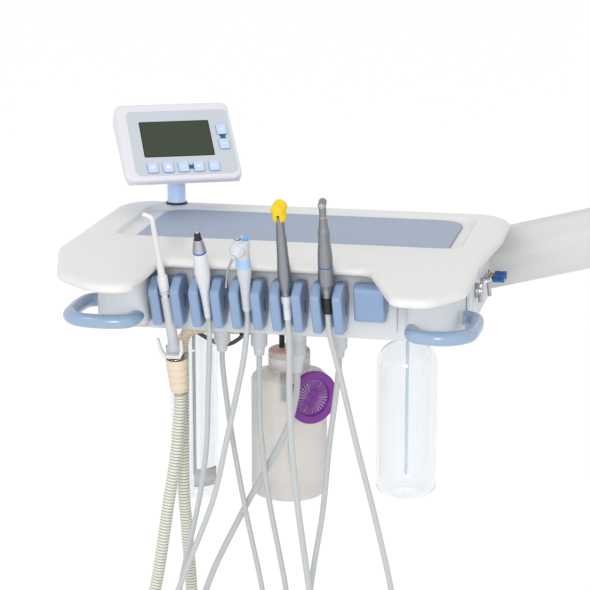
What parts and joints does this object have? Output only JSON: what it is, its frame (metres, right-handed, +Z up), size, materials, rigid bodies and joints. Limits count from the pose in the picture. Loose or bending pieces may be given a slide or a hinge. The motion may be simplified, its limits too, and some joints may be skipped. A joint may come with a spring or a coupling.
{
  "type": "dental delivery head",
  "caption": "Dental delivery head on a balanced arm: tray, front holders with instruments on hoses, tilting motor console, handles and bottles below.",
  "frame": {"origin": "centre of the arm bracket's flat flange face, where the whole unit is bolted to its column", "axes": "+X out of the flange face, away from the head, to the operator's right; +Z up; the operator stands on the -Y side"},
  "size_m": [1.0458, 0.6753, 0.9615],
  "materials": {
    "white_plastic": "satin moulded plastic",
    "panel_white": "satin moulded plastic",
    "holder_blue": "satin moulded plastic",
    "mat_blue": "matt non-slip silicone",
    "post_blue": "satin paint",
    "console_shell": "satin moulded plastic",
    "screen_olive": "glossy display window",
    "key_blue": "matt membrane key",
    "brushed_metal": "satin steel",
    "hose_grey": "satin silicone hose",
    "hose_cream": "ribbed hose",
    "cuff_cream": "satin plastic",
    "purple": "matt moulded plastic",
    "cap_yellow": "matt moulded plastic",
    "knob_blue": "anodised, knurled",
    "clear": "clear blown bottle plastic",
    "milky": "milky blown bottle plastic",
    "dark_rubber": "black anodised",
    "arm_metal": "powder-coated casting",
    "bracket_metal": "powder-coated steel"
  },
  "bodies": {
    "arm_base": {"arm_bracket": "bracket_metal"},
    "arm_swing": {"rear_knuckle": "arm_metal"},
    "arm_lift": {"arm_cover": "white_plastic"},
    "arm_lower": {"arm_lower_link": "white_plastic"},
    "arm_level": {"front_knuckle": "arm_metal"},
    "head": {"tray_top": "white_plastic", "tray_mat": "mat_blue", "body_shell": "panel_white", "bottom_plate": "white_plastic", "front_panel": "panel_white", "side_plate": "panel_white", "rear_bracket": "arm_metal", "handle_left": "holder_blue", "handle_right": "holder_blue", "holder_1": "holder_blue", "holder_2": "holder_blue", "holder_3": "holder_blue", "holder_4": "holder_blue", "holder_5": "holder_blue", "holder_blank": "holder_blue", "hose_glands": "panel_white", "bottle_caps": "white_plastic", "under_pipes": "cuff_cream", "hose_suction": "hose_cream", "hose_scaler": "hose_grey", "hose_syringe": "hose_grey", "hose_turbine": "hose_grey", "hose_motor": "hose_grey"},
    "console_swivel": {"console_post": "post_blue"},
    "console": {"console_front": "console_shell", "console_back": "post_blue", "console_screen": "screen_olive"},
    "suction": {"suction_handle": "panel_white", "suction_tip": "white_plastic", "suction_cuff": "cuff_cream"},
    "suction_yoke": {"suction_lever": "white_plastic"},
    "scaler": {"scaler_handpiece": "panel_white"},
    "syringe": {"syringe_body": "panel_white"},
    "syringe_tube": {"syringe_nozzle": "brushed_metal"},
    "button_air": {"syringe_button_air": "brushed_metal"},
    "button_water": {"syringe_button_water": "holder_blue"},
    "turbine": {"turbine_handpiece": "brushed_metal"},
    "burr_cap": {"turbine_cap": "cap_yellow"},
    "motor": {"micromotor": "dark_rubber"},
    "angle_head": {"contra_angle": "brushed_metal"},
    "lever": {"valve_lever": "brushed_metal"},
    "selector": {"selector_knob": "brushed_metal"},
    "needle_front": {"knob_front": "knob_blue"},
    "needle_rear": {"knob_rear": "knob_blue"},
    "water_bottle": {"bottle_water": "clear"},
    "coolant_bottle": {"bottle_coolant": "milky", "slotted_disc": "purple"},
    "waste_bottle": {"bottle_waste": "clear"},
    "button_program": {"key_program": "key_blue"},
    "button_home": {"key_home": "key_blue"},
    "button_less": {"key_less": "key_blue"},
    "button_more": {"key_more": "key_blue"},
    "button_set": {"key_set": "key_blue"},
    "button_up": {"key_up": "key_blue"},
    "button_down": {"key_down": "key_blue"}
  },
  "joints": [
    {"name": "arm_swing_pivot", "type": "hinge", "parent": "arm_base", "child": "arm_swing", "pos_m": [-0.062, 0, 0.018], "axis": [0, 0, 1], "range_deg": [-75, 75]},
    {"name": "arm_lift_pivot", "type": "hinge", "parent": "arm_swing", "child": "arm_lift", "pos_m": [-0.132, 0, 0.018], "axis": [0, 1, 0], "range_deg": [-15, 30]},
    {"name": "lower_link_pivot", "type": "hinge", "parent": "arm_swing", "child": "arm_lower", "pos_m": [-0.132, 0, -0.0244], "axis": [0, 1, 0], "range_deg": [-15, 30]},
    {"name": "head_level_pivot", "type": "hinge", "parent": "arm_lift", "child": "arm_level", "pos_m": [-0.61586, 0, -0.10804], "axis": [0, 1, 0], "range_deg": [-30, 15]},
    {"name": "head_swivel", "type": "hinge", "parent": "arm_level", "child": "head", "pos_m": [-0.68585, 0, -0.05], "axis": [0, 0, 1], "range_deg": [-95, 2]},
    {"name": "console_swivel_pivot", "type": "hinge", "parent": "head", "child": "console_swivel", "pos_m": [-0.93785, -0.07, 0.00696], "axis": [0, 0, 1], "range_deg": [-90, 90]},
    {"name": "console_tilt_pivot", "type": "hinge", "parent": "console_swivel", "child": "console", "pos_m": [-0.93785, -0.07, 0.07097], "axis": [0.9171, 0.3987, 0], "range_deg": [-12, 20]},
    {"name": "press_program", "type": "slide", "parent": "console", "child": "button_program", "axis": [-0.2287, 0.526, -0.8192], "range_m": [0, 0.0005], "stiffness_N_per_m": 800, "springref_m": -0.0008},
    {"name": "press_home", "type": "slide", "parent": "console", "child": "button_home", "axis": [-0.2287, 0.526, -0.8192], "range_m": [0, 0.0005], "stiffness_N_per_m": 800, "springref_m": -0.0008},
    {"name": "press_less", "type": "slide", "parent": "console", "child": "button_less", "axis": [-0.2287, 0.526, -0.8192], "range_m": [0, 0.0005], "stiffness_N_per_m": 800, "springref_m": -0.0008},
    {"name": "press_more", "type": "slide", "parent": "console", "child": "button_more", "axis": [-0.2287, 0.526, -0.8192], "range_m": [0, 0.0005], "stiffness_N_per_m": 800, "springref_m": -0.0008},
    {"name": "press_set", "type": "slide", "parent": "console", "child": "button_set", "axis": [-0.2287, 0.526, -0.8192], "range_m": [0, 0.0005], "stiffness_N_per_m": 800, "springref_m": -0.0008},
    {"name": "press_up", "type": "slide", "parent": "console", "child": "button_up", "axis": [-0.2287, 0.526, -0.8192], "range_m": [0, 0.0005], "stiffness_N_per_m": 800, "springref_m": -0.0008},
    {"name": "press_down", "type": "slide", "parent": "console", "child": "button_down", "axis": [-0.2287, 0.526, -0.8192], "range_m": [0, 0.0005], "stiffness_N_per_m": 800, "springref_m": -0.0008},
    {"name": "take_suction", "type": "slide", "parent": "head", "child": "suction", "axis": [0, -1, 0], "range_m": [0, 0.06]},
    {"name": "take_scaler", "type": "slide", "parent": "head", "child": "scaler", "axis": [0, -1, 0], "range_m": [0, 0.06]},
    {"name": "take_syringe", "type": "slide", "parent": "head", "child": "syringe", "axis": [0, -1, 0], "range_m": [0, 0.06]},
    {"name": "take_turbine", "type": "slide", "parent": "head", "child": "turbine", "axis": [0, -1, 0], "range_m": [0, 0.06]},
    {"name": "take_motor", "type": "slide", "parent": "head", "child": "motor", "axis": [0, -1, 0], "range_m": [0, 0.06]},
    {"name": "yoke_pivot", "type": "hinge", "parent": "suction", "child": "suction_yoke", "pos_m": [-0.85539, -0.41913, -0.11562], "axis": [1, -0.0031, 0.0061], "range_deg": [-8, 0]},
    {"name": "nozzle_swivel", "type": "hinge", "parent": "syringe", "child": "syringe_tube", "pos_m": [-0.74528, -0.50953, 0.03052], "axis": [-0.2072, -0.8109, -0.5473], "range_deg": [-25, 25]},
    {"name": "press_air", "type": "slide", "parent": "syringe", "child": "button_air", "axis": [-0.0378, 0.4223, -0.9057], "range_m": [0, 0.001], "stiffness_N_per_m": 1200, "springref_m": -0.0008},
    {"name": "press_water", "type": "slide", "parent": "syringe", "child": "button_water", "axis": [-0.0378, 0.4223, -0.9057], "range_m": [0, 0.001], "stiffness_N_per_m": 1200, "springref_m": -0.0008},
    {"name": "pull_burr_cap", "type": "slide", "parent": "turbine", "child": "burr_cap", "axis": [-0.02, -0.2588, 0.9657], "range_m": [0, 0.03]},
    {"name": "angle_head_turn", "type": "hinge", "parent": "motor", "child": "angle_head", "pos_m": [-0.62786, -0.45, -0.05504], "axis": [-0.009, -0.2249, 0.9743], "continuous": true},
    {"name": "lever_turn", "type": "hinge", "parent": "head", "child": "lever", "pos_m": [-0.44195, -0.186, -0.06403], "axis": [1, 0, 0], "range_deg": [-45, 45]},
    {"name": "selector_turn", "type": "hinge", "parent": "head", "child": "selector", "pos_m": [-0.44526, -0.281, -0.05704], "axis": [1, 0, 0], "range_deg": [-60, 60]},
    {"name": "needle_front_turn", "type": "hinge", "parent": "head", "child": "needle_front", "pos_m": [-0.43595, -0.156, -0.06803], "axis": [1, 0, 0], "range_deg": [-180, 180]},
    {"name": "needle_rear_turn", "type": "hinge", "parent": "head", "child": "needle_rear", "pos_m": [-0.43595, -0.125, -0.07004], "axis": [1, 0, 0], "range_deg": [-180, 180]},
    {"name": "unscrew_water", "type": "hinge", "parent": "head", "child": "water_bottle", "pos_m": [-0.54636, -0.255, 0.00696], "axis": [0, 0, 1], "range_deg": [-360, 0]},
    {"name": "unscrew_coolant", "type": "hinge", "parent": "head", "child": "coolant_bottle", "pos_m": [-0.72206, -0.255, 0.00696], "axis": [0, 0, 1], "range_deg": [-360, 0]},
    {"name": "unscrew_waste", "type": "hinge", "parent": "head", "child": "waste_bottle", "pos_m": [-0.86686, -0.255, 0.00696], "axis": [0, 0, 1], "range_deg": [-360, 0]}
  ],
  "couplings": [
    {"joint": "lower_link_pivot", "follows": "arm_lift_pivot", "ratio": 1},
    {"joint": "head_level_pivot", "follows": "arm_lift_pivot", "ratio": -1}
  ]
}
